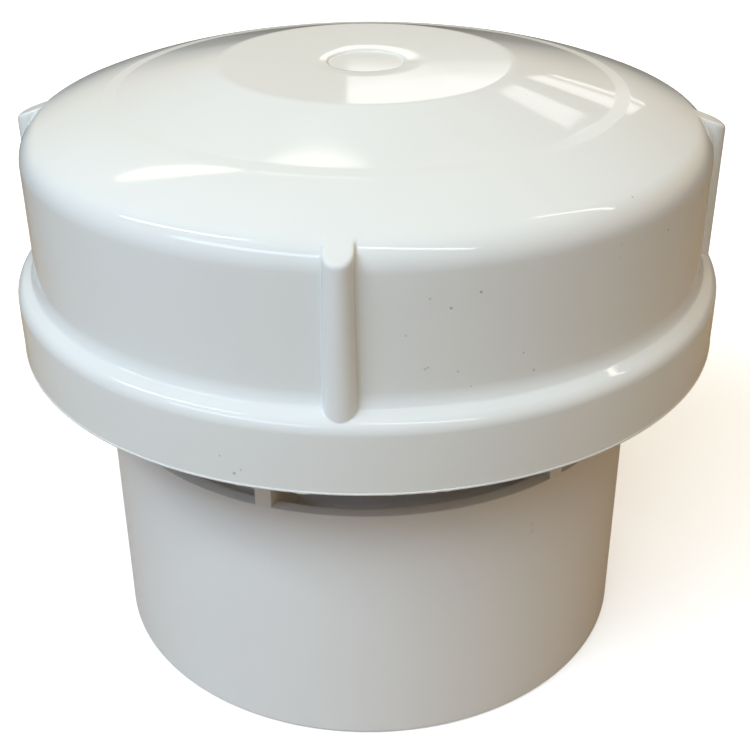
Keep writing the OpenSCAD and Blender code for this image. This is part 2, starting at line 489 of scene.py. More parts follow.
@dataclass(frozen=True)
class MouldedPlastic:
    """A moulded plastic with faint clouds, fine waves and specks."""

    name: str
    colour: Colour
    cloud: Colour
    gloss: Point
    index: float = 1.53
    cloud_size: float = 24.0
    gloss_size: float = 8.0
    wave_size: float = 14.0
    wave_depth: float = 0.02
    grain_size: float = 0.5
    grain_depth: float = 0.0015
    speck_colour: Colour = (0.16, 0.13, 0.10)
    speck_gap: float = 5.0
    speck_share: float = 0.048
    speck_radius: float = 0.14
    speck_core: float = 0.4
    mark_core: float = 0.3
    marks: tuple[Mark, ...] = ()
    frosting: Frosting | None = None

    def roughened(self, graph: Graph) -> Any:
        """Spreads the gloss over the surface and returns the output for the roughness."""
        rough = graph.ranged(graph.noise(self.gloss_size, detail=4.0), NOISE_SPREAD, self.gloss)
        return self.frosting.over(graph, rough) if self.frosting else rough

    def speckled(self, graph: Graph) -> Any:
        """Finds where specks lie.

        Args:
            graph: The material's nodes.

        Returns:
            The output that is 1 on a speck and 0 elsewhere.
        """
        cells = graph.add("TexVoronoi", {"Vector": graph.place, "Scale": 1.0 / (self.speck_gap * MM)})
        chance = graph.add("SeparateColor", {0: cells.outputs["Color"]}).outputs[0]
        chosen = graph.math("LESS_THAN", chance, self.speck_share)
        size = self.speck_radius / self.speck_gap
        near = graph.ranged(cells.outputs["Distance"], (self.speck_core * size, size), FADE)
        found = graph.math("MULTIPLY", chosen, near)
        for mark in self.marks:
            gap = graph.add("VectorMath", {0: graph.place, 1: mark.place}, operation="DISTANCE")
            edge = (self.mark_core * mark.radius * MM, mark.radius * MM)
            near = graph.ranged(gap.outputs["Value"], edge, (mark.strength, 0.0))
            found = graph.math("MAXIMUM", found, near)
        return found

    def material(self) -> Material:
        """Builds the plastic.

        Returns:
            Its material.
        """
        made, graph = new_material(self.name)
        clouds = graph.ranged(graph.noise(self.cloud_size, detail=3.0), NOISE_SPREAD, UNIT)
        base = graph.mixed(clouds, self.colour, self.cloud)
        base = graph.mixed(self.speckled(graph), base, self.speck_colour)
        waves = graph.math("MULTIPLY", graph.noise(self.wave_size, detail=1.0), self.wave_depth)
        grain = graph.math("MULTIPLY", graph.noise(self.grain_size, detail=2.0), self.grain_depth)
        height = graph.math("ADD", waves, grain)
        graph.surface(base, self.roughened(graph), height, 1.0, self.index)
        return made


@dataclass(frozen=True)
class MouldedRubber:
    """A matt black rubber with a fine tooth and a pale bloom."""

    name: str
    colour: Colour
    bloom: Colour
    gloss: Point
    index: float = 1.5
    bloom_size: float = 9.0
    bloom_spread: Point = (0.42, 0.7)
    tooth_size: float = 0.35
    tooth_depth: float = 0.012

    def material(self) -> Material:
        """Builds the rubber.

        Returns:
            Its material.
        """
        made, graph = new_material(self.name)
        bloom = graph.ranged(graph.noise(self.bloom_size, detail=5.0), self.bloom_spread, UNIT)
        base = graph.mixed(bloom, self.colour, self.bloom)
        tooth = graph.noise(self.tooth_size, detail=3.0)
        graph.surface(base, graph.ranged(bloom, UNIT, self.gloss), tooth, self.tooth_depth, self.index)
        return made


def dress(
    piece: Piece, node: str, body: Body, material: Material, crease: float = 40.0
) -> Piece:
    """Shades a finished piece, puts it in its node's place and lets it ride on its body.

    Args:
        piece: The finished object.
        node: The solid that the piece stands for.
        body: The body that it moves with.
        material: The piece's material.
        crease: Angle from which an edge stays sharp, in degrees.

    Returns:
        The same object.
    """
    piece.data.materials.clear()
    piece.data.materials.append(material)
    piece.data.shade_smooth()
    piece.data.set_sharp_from_angle(angle=math.radians(crease))
    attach(piece, body.value)
    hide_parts(node)
    LOG.info("%s: %d faces on %s", piece.name, len(piece.data.polygons), body.value)
    return piece


@dataclass(frozen=True)
class RibForm:
    """A half-round grip rib that runs out into the dome above and ends on the step below.

    A rib's section at one height is a path of (offset, rise) points, from its crest
    line down its side to the cap's own surface. The rib is narrower at the top by the
    pinch, and the draft widens it below. The crown fills its sloped top.
    """

    axis_r: float
    half: float
    wall_r: float
    shoulder: Point
    shoulder_r: float
    dome: Point
    dome_r: float
    step: Point
    step_r: float
    reach: float = 4.8
    pinch: float = 0.15
    draft: float = 0.015
    edge: float = 1.0
    crown: float = 1.4
    melt: float = 0.46
    tip: float = 0.9
    crest_end: float = 0.45
    flank_end: float = 0.6
    foot_least: float = 0.3
    crest_steps: int = 10
    flank_steps: int = 10
    foot_steps: int = 4

    @property
    def columns(self) -> int:
        """Number of columns on each side of the crest line."""
        return self.crest_steps + self.flank_steps + self.foot_steps

    def spaced(self, crest: float, flank: float, end: float) -> list[float]:
        """Spreads the columns along a section, closest at the rib's edge.

        Args:
            crest: Length of the path from the crest line to the rib's edge.
            flank: Height of the rib's side.
            end: Length of the whole path.

        Returns:
            Distances along the path.
        """
        inner = crest - min(self.crest_end, crest / 2)
        outer = min(crest + flank + self.flank_end, end - self.foot_least)
        steps = (self.crest_steps, self.flank_steps, self.foot_steps)
        spans = zip((0.0, inner, outer), (inner, outer, end), steps)
        return [0.0] + [a + (b - a) * k / n for a, b, n in spans for k in range(1, n + 1)]

    def flat_turns(self) -> list[float]:
        """Gives the angles of the columns from the crest line to the last one, in radians."""
        return [math.asin(d / self.wall_r) for d in self.spaced(self.half, 0.0, self.reach)]

    def rise_way(self, at: Corner) -> tuple[Point, float, float]:
        """Finds which way the rib rises from a point of the cap's outline.

        Args:
            at: The point.

        Returns:
            The direction, the point's distance from where that direction starts, and the
            distance at which the rib's sloped top cuts it off.
        """
        if at.z <= self.shoulder[1]:
            return (1.0, 0.0), at.r, math.inf
        across, up = self.shoulder[0] - self.dome[0], self.shoulder[1] - self.dome[1]
        lean = math.atan2(at.z - self.shoulder[1], at.r - self.shoulder[0])
        way = (math.cos(lean), math.sin(lean))
        along = across * way[0] + up * way[1]
        roof = math.sqrt(along**2 + self.dome_r**2 - across**2 - up**2) - along
        bulge = self.crown * max(1.0 - lean / math.atan2(up, across), 0.0) ** 2
        return way, self.shoulder_r, roof + bulge

    def path(self, at: Corner, samples: int = 24) -> tuple[Point, list[Point]]:
        """Traces the rib's section over a point of the cap's outline.

        Args:
            at: The point.
            samples: Number of steps round the rib's quarter circle.

        Returns:
            The direction of the rise and the path, which is empty where there is no rib.
        """
        way, base, roof = self.rise_way(at)
        start = self.shoulder[0] if at.z > self.shoulder[1] else 0.0
        half = self.half - self.pinch + self.draft * max(self.shoulder[1] - at.z, 0.0)
        points: list[Point] = []
        for k in range(samples + 1):
            turn = math.pi / 2 * k / samples
            offset = half * math.sin(turn)
            top = (self.axis_r + self.half * math.cos(turn) - start) / way[0]
            rise = (top if math.isinf(roof) else soft_min(top, roof, self.edge)) - base
            if rise <= FLUSH:
                if points:
                    last, height = points[-1]
                    points.append((last + (offset - last) * height / (height - rise), 0.0))
                break
            points.append((offset, rise))
        return way, points

    def section(self, at: Corner) -> tuple[Point, list[Point]]:
        """Places the columns over a point of the cap's outline.

        Args:
            at: The point.

        Returns:
            The direction of the rise, and the offset and rise of each column from the crest line out.
        """
        way, points = self.path(at)
        crest = sum(math.dist(a, b) for a, b in pairwise(points))
        foot, flank = points[-1] if points else (0.0, 0.0)
        least = self.tip
        if not points:
            least = self.half
            if at.z < self.shoulder[1]:
                lean = math.atan2(at.z - self.step[1], at.r - self.step[0])
                tip_lean = math.acos((self.axis_r + self.half - self.step[0]) / self.step_r)
                t = 1.0 - min(max(lean / tip_lean, 0.0), 1.0)
                least = self.tip + (self.half - self.tip) * t * t * (3.0 - 2.0 * t)
            points = [(0.0, 0.0)]
        track = [*points, (foot, 0.0), (foot + 2.0 * self.reach, 0.0)]
        end = crest + flank + self.reach - foot
        spots = self.spaced(max(crest, least), flank, end)
        return way, [self.eased(track, s) for s in spots]

    def eased(self, track: Sequence[Point], distance: float, samples: int = 3) -> Point:
        """Finds a point on a path whose corners are melted.

        Args:
            track: The path from the crest line out.
            distance: Distance along the path.
            samples: Number of samples on each side.

        Returns:
            Offset and rise of the point.
        """
        total_offset = total_rise = 0.0
        for k in range(-samples, samples + 1):
            s = distance + self.melt * k / samples
            offset, rise = self.followed(track, abs(s))
            total_offset += math.copysign(offset, s)
            total_rise += rise
        share = 1.0 / (2 * samples + 1)
        return total_offset * share, total_rise * share

    def followed(self, track: Sequence[Point], distance: float) -> Point:
        """Follows a path.

        Args:
            track: The path from the crest line out.
            distance: Distance along the path.

        Returns:
            Offset and rise at that distance.
        """
        for a, b in pairwise(track):
            length = math.dist(a, b)
            if distance <= length and length > 0.0:
                t = distance / length
                return a[0] + (b[0] - a[0]) * t, a[1] + (b[1] - a[1]) * t
            distance -= length
        return track[-1]


@dataclass(frozen=True)
class Burr:
    """A sliver of flash under the skirt: its angle in degrees, and its length and drop in millimetres."""

    turn: float
    length: float
    drop: float


@dataclass
class CapForm:
    """The cap: disc, cone, ring band, dome, wall with grip ribs, step and skirt."""

    finish: MouldedPlastic
    burrs: tuple[Burr, ...] = ()
    wall: float = 2.5
    disc_z: float = 120.0
    disc_r: float = 28.3
    recess_r: float = 7.2
    recess_rim: float = 11.4
    recess_depth: float = 0.4
    recess_dip: float = 0.16
    recess_side: float = 0.2
    band_in: Point = (47.4, 115.485)
    band: Point = (50.0, 115.087)
    dome: Point = (33.578, 43.958)
    dome_r: float = 73.0
    shoulder_r: float = 6.0
    cap_r: float = 66.3
    fillet: Point = (71.28, 85.3)
    fillet_r: float = 4.98
    fillet_turn: float = 35.0
    step: Point = (67.05, 79.0)
    step_r: float = 3.0
    step_slope: float = 30.0
    skirt_r: float = 70.2
    skirt_z: float = 68.0
    lip: float = 0.1
    lip_h: float = 0.35
    burr_root: float = 0.1
    seat_z: float = 79.4
    guide_r: float = 4.35
    guide_wall: float = 2.2
    guide_z: float = 97.2
    rib_axis_r: float = 66.55
    rib_half: float = 2.65
    rib_count: int = 4
    turn: float = -13.35
    skirt_rows: Point = (4.0, 2.0)
    rim_steps: int = 8
    dome_steps: int = 12
    shoulder_steps: int = 30
    wall_steps: int = 12
    fillet_steps: int = 10
    slope_steps: int = 6
    step_steps: int = 24
    plain_steps: int = 22
    inner_steps: tuple[int, int] = (8, 5)

    @property
    def shoulder(self) -> Point:
        """Centre of the rounding between the dome and the wall."""
        r = self.cap_r - self.shoulder_r
        height = math.sqrt((self.dome_r - self.shoulder_r) ** 2 - (r - self.dome[0]) ** 2)
        return r, self.dome[1] + height

    @property
    def lean(self) -> float:
        """Angle at which the dome meets the shoulder's rounding, in degrees."""
        centre = self.shoulder
        return math.degrees(math.atan2(centre[1] - self.dome[1], centre[0] - self.dome[0]))

    def rib(self) -> RibForm:
        """Gives the grip rib that fits this cap."""
        return RibForm(
            axis_r=self.rib_axis_r, half=self.rib_half, wall_r=self.cap_r, shoulder=self.shoulder,
            shoulder_r=self.shoulder_r, dome=self.dome, dome_r=self.dome_r, step=self.step,
            step_r=self.step_r,
        )

    def outside(self) -> list[Sequence[float]]:
        """Lays out the cap's outer side.

        Returns:
            The outline from the middle of the disc to the skirt's lower edge.
        """
        low = self.disc_z - self.recess_depth
        edge = self.recess_r + self.recess_side
        rim = [k / self.rim_steps for k in range(self.rim_steps + 1)]
        band_lean = math.degrees(math.acos((self.band[0] - self.dome[0]) / self.dome_r))
        up = 90.0 - self.step_slope
        dome = arc(self.dome, self.dome_r, band_lean, self.lean, self.dome_steps)
        shoulder = arc(self.shoulder, self.shoulder_r, self.lean, 0.0, self.shoulder_steps)
        fillet = arc(self.fillet, self.fillet_r, 180.0, 180.0 + self.fillet_turn, self.fillet_steps)
        step = arc(self.step, self.step_r, up, 0.0, self.step_steps)
        side = self.skirt_r - self.lip
        return [
            (0.0, low),
            (self.recess_r, low, 0.1),
            *((edge + (self.recess_rim - edge) * t, self.disc_z - self.recess_dip * (1.0 - t) ** 2)
              for t in rim),
            (self.disc_r, self.disc_z, 0.7),
            (*self.band_in, 0.25),
            (*self.band, 0.25),
            *dome[1:],
            *shoulder[1:],
            *self.between(shoulder[-1], fillet[0], self.wall_steps),
            *fillet,
            *self.between(fillet[-1], step[0], self.slope_steps),
            *step,
            (side, self.step[1] - self.skirt_rows[0]),
            (side, self.skirt_z + self.skirt_rows[1]),
            (side, self.skirt_z + self.lip_h + self.lip, 0.1),
            (self.skirt_r, self.skirt_z + self.lip_h, 0.08),
            (self.skirt_r, self.skirt_z, 0.2),
        ]

    @staticmethod
    def between(a: Corner, b: Corner, steps: int) -> list[Corner]:
        """Gives the points that part the way between two others into equal steps."""
        shares = [k / steps for k in range(1, steps)]
        return [Corner(a.r + (b.r - a.r) * t, a.z + (b.z - a.z) * t) for t in shares]

    def inside(self) -> list[Sequence[float]]:
        """Lays out the cap's inner side.

        Returns:
            The outline from the skirt's inner lower edge up to the middle of the dome's underside.
        """
        skirt_in = self.skirt_r - self.wall
        under = self.disc_z - self.wall
        cone_slope = math.atan2(self.disc_z - self.band_in[1], self.band_in[0] - self.disc_r)
        inner_dome = self.dome_r - self.wall
        band_lean = math.degrees(math.acos((self.band[0] - self.dome[0]) / inner_dome))
        shoulder = arc(self.shoulder, self.shoulder_r - self.wall, 0.0, self.lean, self.inner_steps[0])
        dome = arc(self.dome, inner_dome, self.lean, band_lean, self.inner_steps[1])
        guide_out = self.guide_r + self.guide_wall
        return [
            (skirt_in, self.skirt_z, 0.35),
            (skirt_in, self.seat_z, 0.4),
            (self.cap_r - self.wall, self.seat_z, 0.3),
            *shoulder,
            *dome[1:],
            (self.band_in[0], self.band_in[1] - self.wall / math.cos(cone_slope), 0.3),
            (self.disc_r, under, 0.3),
            (guide_out, under, 1.0),
            (guide_out, self.guide_z, 0.3),
            (self.guide_r, self.guide_z, 0.5),
            (self.guide_r, under, 0.2),
            (0.0, under),
        ]

    def column_turns(self, rib: RibForm) -> list[float]:
        """Spreads the columns of one sector.

        Args:
            rib: The rib's form.

        Returns:
            The columns' angles from one side of the rib to the other, in radians.
        """
        half = rib.flat_turns()
        gap = (math.pi / self.rib_count - half[-1]) / self.plain_steps
        side = half[1:] + [half[-1] + gap * k for k in range(1, self.plain_steps + 1)]
        return [-a for a in reversed(side)] + [0.0] + side

    def raise_rib(self, bm: Mesh, outline: Sequence[Corner], rib: RibForm) -> None:
        """Raises the grip rib out of the turned sector.

        Args:
            bm: The sector, with the layers row and side on its vertices.
            outline: The outline that was turned.
            rib: The rib's form.
        """
        row_layer, side_layer = bm.verts.layers.int["row"], bm.verts.layers.int["side"]
        lowest = min(range(len(outline)), key=lambda k: outline[k].z)
        start_r = self.shoulder[0] + self.shoulder_r * math.cos(math.radians(self.lean))
        sections = {
            row: rib.section(c)
            for row, c in enumerate(outline[:lowest])
            if c.r >= start_r and c.z >= self.step[1]
        }
        for vert in bm.verts:
            row, side = vert[row_layer], vert[side_layer]
            if row not in sections or abs(side) > rib.columns:
                continue
            way, spots = sections[row]
            offset, rise = spots[abs(side)]
            turn = math.copysign(math.asin(offset / self.cap_r), side)
            radius = outline[row].r + rise * way[0]
            vert.co = (
                radius * math.cos(turn) * MM,
                radius * math.sin(turn) * MM,
                (outline[row].z + rise * way[1]) * MM,
            )

    def sector(self, outline: Sequence[Corner], rib: RibForm) -> Mesh:
        """Turns the part of the cap that one rib stands in the middle of.

        Args:
            outline: The cap's outline.
            rib: The rib's form.

        Returns:
            The sector, with its rib's crest line on the XZ plane.
        """
        bm, _ = section_mesh(outline, closed=False)
        row_layer = bm.verts.layers.int.new("row")
        side_layer = bm.verts.layers.int.new("side")
        turns = self.column_turns(rib)
        middle = len(turns) // 2
        for row, vert in enumerate(bm.verts):
            vert[row_layer] = row
            vert[side_layer] = -middle
        bmesh.ops.rotate(bm, verts=bm.verts, cent=ORIGIN, matrix=Matrix.Rotation(turns[0], 3, "Z"))
        front = [*bm.verts, *bm.edges]
        for side, (a, b) in enumerate(pairwise(turns), 1 - middle):
            spun = bmesh.ops.spin(
                bm, geom=front, cent=ORIGIN, axis=AXIS, dvec=ORIGIN, angle=b - a, steps=1,
                use_merge=False, use_normal_flip=False, use_duplicate=False,
            )
            front = spun["geom_last"]
            for vert in front:
                if isinstance(vert, bmesh.types.BMVert):
                    vert[side_layer] = side
        self.raise_rib(bm, outline, rib)
        return bm

    def flash(self, bm: Mesh) -> None:
        """Hangs the burrs under the skirt's lip.

        Args:
            bm: The cap's mesh.
        """
        thick, root = self.lip, self.burr_root
        for burr in self.burrs:
            swing = Matrix.Rotation(math.radians(burr.turn), 4, "Z")
            shift = Matrix.Translation(Vector((self.skirt_r - thick, 0.0, self.skirt_z + root)) * MM)
            size = Matrix.Diagonal((thick * MM, burr.length / 2 * MM, (burr.drop + root) * MM, 1.0))
            bmesh.ops.create_icosphere(bm, subdivisions=2, radius=1.0, matrix=swing @ shift @ size)

    def build(self) -> Piece:
        """Turns a sector of the cap with its rib, repeats it and dresses the cap.

        Returns:
            The finished cap.
        """
        outline = softened([*self.outside(), *self.inside()])
        bm = closed_up(ringed(self.sector(outline, self.rib()), self.rib_count, self.turn))
        self.flash(bm)
        piece = as_object(bm, "cap_shell")
        return dress(piece, "cap", Body.HOUSING, self.finish.material(), crease=60.0)


@dataclass
class BodyForm:
    """The body: spigot, gutter, throat, webs between the air windows, flange and seats."""

    finish: MouldedPlastic
    spigot_r: float = 55.0
    spigot_in_r: float = 51.8
    spigot_bevel: float = 0.6
    sill_z: float = 53.0
    gutter_z: float = 43.0
    gutter_slope: float = 20.0
    throat_r: float = 40.0
    throat_wall: float = 2.8
    flange_z: float = 76.0
    flange_top: float = 79.4
    flange_r: float = 67.4
    upstand_r: float = 63.5
    upstand_t: float = 2.2
    upstand_h: float = 4.0
    seat_top: float = 81.4
    seat_land: float = 1.4
    seat_foot: float = 2.6
    web_r: float = 54.96
    web_t: float = 3.2
    web_edge: float = 0.1
    web_count: int = 6

    def floor_z(self, r: float) -> float:
        """Gives the height of the gutter's floor at a radius."""
        return self.gutter_z + (self.spigot_in_r - r) * math.tan(math.radians(self.gutter_slope))

    @property
    def floor_drop(self) -> float:
        """Upright thickness of the gutter's floor."""
        return self.throat_wall / math.cos(math.radians(self.gutter_slope))

    def spigot(self) -> Mesh:
        """Turns the spigot, the gutter, the throat and the inner seat.

        Returns:
            Their mesh.
        """
        outer = self.throat_r + self.throat_wall
        seat = self.throat_r + self.throat_wall / 2
        return turned([
            (self.spigot_in_r, 0.0, 0.3),
            (self.spigot_r - self.spigot_bevel, 0.0, 0.2),
            (self.spigot_r, self.spigot_bevel, 0.2),
            (self.spigot_r, self.sill_z, 0.12),
            (self.spigot_in_r, self.sill_z, 1.2),
            (self.spigot_in_r, self.gutter_z, 1.0),
            (outer, self.floor_z(outer), 1.0),
            (outer, self.flange_top, 0.3),
            (seat + self.seat_land / 2, self.seat_top, 0.25),
            (seat - self.seat_land / 2, self.seat_top, 0.25),
            (self.throat_r, self.flange_top, 0.3),
            (self.throat_r, self.floor_z(self.throat_r) - self.floor_drop, 0.6),
            (self.spigot_in_r, self.gutter_z - self.floor_drop, 1.2),
        ])

    def flange(self) -> Mesh:
        """Turns the flange, the outer seat and the upstand.

        Returns:
            Their mesh.
        """
        side = (self.seat_foot - self.seat_land) / 2
        inner = self.upstand_r - self.upstand_t
        seat_end = self.spigot_in_r + self.seat_foot
        return turned([
            (self.spigot_in_r, self.flange_z, 0.3),
            (self.flange_r, self.flange_z, 0.3),
            (self.flange_r, self.flange_top, 0.3),
            (self.upstand_r, self.flange_top, 0.2),
            (self.upstand_r, self.flange_top + self.upstand_h, 0.4),
            (inner, self.flange_top + self.upstand_h, 0.4),
            (inner, self.flange_top, 0.5),
            (seat_end, self.flange_top, 0.3),
            (seat_end - side, self.seat_top, 0.25),
            (self.spigot_in_r + side, self.seat_top, 0.25),
            (self.spigot_in_r, self.flange_top, 0.3),
        ])

    def webs(self) -> Mesh:
        """Makes the upright webs between the air windows.

        Returns:
            All of them in one mesh.
        """
        inner = self.throat_r + self.throat_wall / 2
        root = self.floor_drop / 2
        top = (self.flange_z + self.flange_top) / 2
        corners = [
            (inner, self.floor_z(inner) - root),
            (self.web_r, self.floor_z(self.web_r) - root),
            (self.web_r, top),
            (inner, top),
        ]
        return ringed(slab(corners, self.web_t, self.web_edge), self.web_count)

    def build(self) -> Piece:
        """Joins the body's forms and dresses it.

        Returns:
            The finished body.
        """
        piece = as_object(self.spigot(), "valve_body")
        carve(piece, self.webs(), Carving.JOIN)
        carve(piece, self.flange(), Carving.JOIN)
        return dress(piece, "body", Body.HOUSING, self.finish.material())


@dataclass
class DiscForm:
    """The part that lifts: rubber diaphragm, carrier with its guide stem, and retainer ring."""

    rubber: MouldedRubber
    plastic: MouldedPlastic
    seat_top: float = 81.4
    rubber_t: float = 1.5
    rubber_r: float = 56.6
    clamp_r: float = 39.2
    clamp_in_r: float = 34.2
    carrier_r: float = 48.8
    carrier_t: float = 1.8
    rim_w: float = 1.6
    rim_h: float = 2.2
    spoke_count: int = 6
    spoke_w: float = 2.4
    spoke_h: float = 4.0
    spoke_gap: float = 0.05
    spoke_edge: float = 0.2
    hub_r: float = 7.5
    stem_r: float = 4.0
    stem_top: float = 105.6
    peg_r: float = 36.7
    peg_d: float = 2.6
    peg_clear: float = 0.15
    hole_spare: float = 1.0
    head_d: float = 4.2
    head_h: float = 0.9

    @property
    def rubber_top(self) -> float:
        """Height of the rubber's upper face."""
        return self.seat_top + self.rubber_t

    @property
    def carrier_top(self) -> float:
        """Height of the upper face of the carrier's ring."""
        return self.rubber_top + self.carrier_t

    @property
    def peg_turn(self) -> float:
        """Angle of the first peg, half-way between two spokes, in degrees."""
        return 180.0 / self.spoke_count

    def at_pegs(self, rows: Iterable[Sequence[float]]) -> Mesh:
        """Turns an outline and sets it at each peg.

        Args:
            rows: Outline from axis to axis.

        Returns:
            The copies in one mesh.
        """
        bm = turned(rows, closed=False, columns=32)
        bmesh.ops.translate(bm, verts=bm.verts, vec=(self.peg_r * MM, 0.0, 0.0))
        return ringed(bm, self.spoke_count, self.peg_turn)

    def peg_holes(self) -> Mesh:
        """Makes the plugs that cut the holes for the pegs.

        Returns:
            All of them in one mesh.
        """
        radius = self.peg_d / 2 + self.peg_clear
        low, high = self.seat_top - self.hole_spare, self.carrier_top + self.hole_spare
        return self.at_pegs([(0.0, low), (radius, low), (radius, high), (0.0, high)])

    def ring(self, outer: float, inner: float, low: float, high: float, soft: float) -> Mesh:
        """Turns a flat ring with eased edges."""
        spots = ((inner, low), (outer, low), (outer, high), (inner, high))
        return turned([(*spot, soft) for spot in spots])

    def diaphragm(self) -> Piece:
        """Makes the rubber diaphragm.

        Returns:
            The finished diaphragm.
        """
        bm = self.ring(self.rubber_r, self.clamp_in_r, self.seat_top, self.rubber_top, 0.35)
        piece = as_object(bm, "rubber_diaphragm")
        carve(piece, self.peg_holes(), Carving.CUT)
        return dress(piece, "diaphragm", Body.VALVE_DISC, self.rubber.material())

    def carrier(self, material: Material) -> Piece:
        """Makes the carrier from its ring, rim, spokes, hub and stem.

        Args:
            material: The carrier's plastic.

        Returns:
            The finished carrier.
        """
        low, high = self.rubber_top, self.carrier_top
        inner_rim = self.carrier_r - self.rim_w
        ring = turned([
            (self.clamp_in_r, low, 0.2),
            (self.carrier_r, low, 0.2),
            (self.carrier_r, high + self.rim_h, 0.4),
            (inner_rim, high + self.rim_h, 0.4),
            (inner_rim, high, 0.6),
            (self.clamp_in_r, high, 0.3),
        ])
        hub_top = low + self.spoke_h
        hub = turned([
            (0.0, low),
            (self.hub_r, low, 0.3),
            (self.hub_r, hub_top, 0.5),
            (self.stem_r, hub_top, 0.8),
            (self.stem_r, self.stem_top, 0.8),
            (0.0, self.stem_top),
        ], closed=False, columns=64)
        far = self.carrier_r - self.rim_w / 2
        near = self.stem_r / 2
        top = hub_top - self.spoke_gap
        spoke = slab([(near, low), (far, low), (far, top), (near, top)], self.spoke_w, self.spoke_edge)
        piece = as_object(ring, "diaphragm_carrier_frame")
        carve(piece, ringed(spoke, self.spoke_count), Carving.JOIN)
        carve(piece, hub, Carving.JOIN)
        carve(piece, self.peg_holes(), Carving.CUT)
        return dress(piece, "diaphragm_carrier", Body.VALVE_DISC, material)

    def retainer(self, material: Material) -> Piece:
        """Makes the retainer ring with its pegs and their formed heads.

        Args:
            material: The ring's plastic.

        Returns:
            The finished ring.
        """
        low = self.seat_top - self.carrier_t
        ring = self.ring(self.clamp_r, self.clamp_in_r, low, self.seat_top, 0.3)
        piece = as_object(ring, "retainer_clamp_ring")
        root = (low + self.seat_top) / 2
        pegs = self.at_pegs([
            (0.0, root),
            (self.peg_d / 2, root),
            (self.peg_d / 2, self.carrier_top, 0.1),
            (self.head_d / 2, self.carrier_top, 0.15),
            (self.head_d / 2, self.carrier_top + self.head_h, 0.7),
            (0.0, self.carrier_top + self.head_h),
        ])
        carve(piece, pegs, Carving.JOIN)
        return dress(piece, "retainer_ring", Body.VALVE_DISC, material)

    def build(self) -> list[Piece]:
        """Builds the three pieces that lift together."""
        plastic = self.plastic.material()
        return [self.diaphragm(), self.carrier(plastic), self.retainer(plastic)]


@dataclass(frozen=True)
class Lamp:
    """A soft lamp: where it is seen from the valve, its size and its light.

    A lamp that isn't mirrored lights the valve without showing in its gloss.
    """

    name: str
    azimuth: float
    elevation: float
    size: Point
    watts: float
    colour: Colour = WHITE
    roll: float = 0.0
    distance: float = 1500.0
    mirrored: bool = True
    shape: LampShape = LampShape.PANEL

    def build(self, aim: Vector) -> Piece:
        """Sets the lamp up.

        Args:
            aim: The point that the lamp faces, in metres.

        Returns:
            The lamp's object.
        """
        light = bpy.data.lights.new(self.name, "AREA")
        light.shape = self.shape.value
        light.size, light.size_y = (s * MM for s in self.size)
        light.energy = self.watts
        light.color = self.colour
        lamp = bpy.data.objects.new(self.name, light)
        a, e = math.radians(self.azimuth), math.radians(self.elevation)
        out = Vector((math.sin(a) * math.cos(e), -math.cos(a) * math.cos(e), math.sin(e)))
        lamp.location = aim + out * self.distance * MM
        lamp.rotation_mode = "QUATERNION"
        facing = (-out).to_track_quat("-Z", "Y")
        lamp.rotation_quaternion = facing @ Matrix.Rotation(math.radians(self.roll), 3, "Z").to_quaternion()
        lamp.visible_camera = False
        lamp.visible_glossy = self.mirrored
        bpy.context.scene.collection.objects.link(lamp)
        return lamp


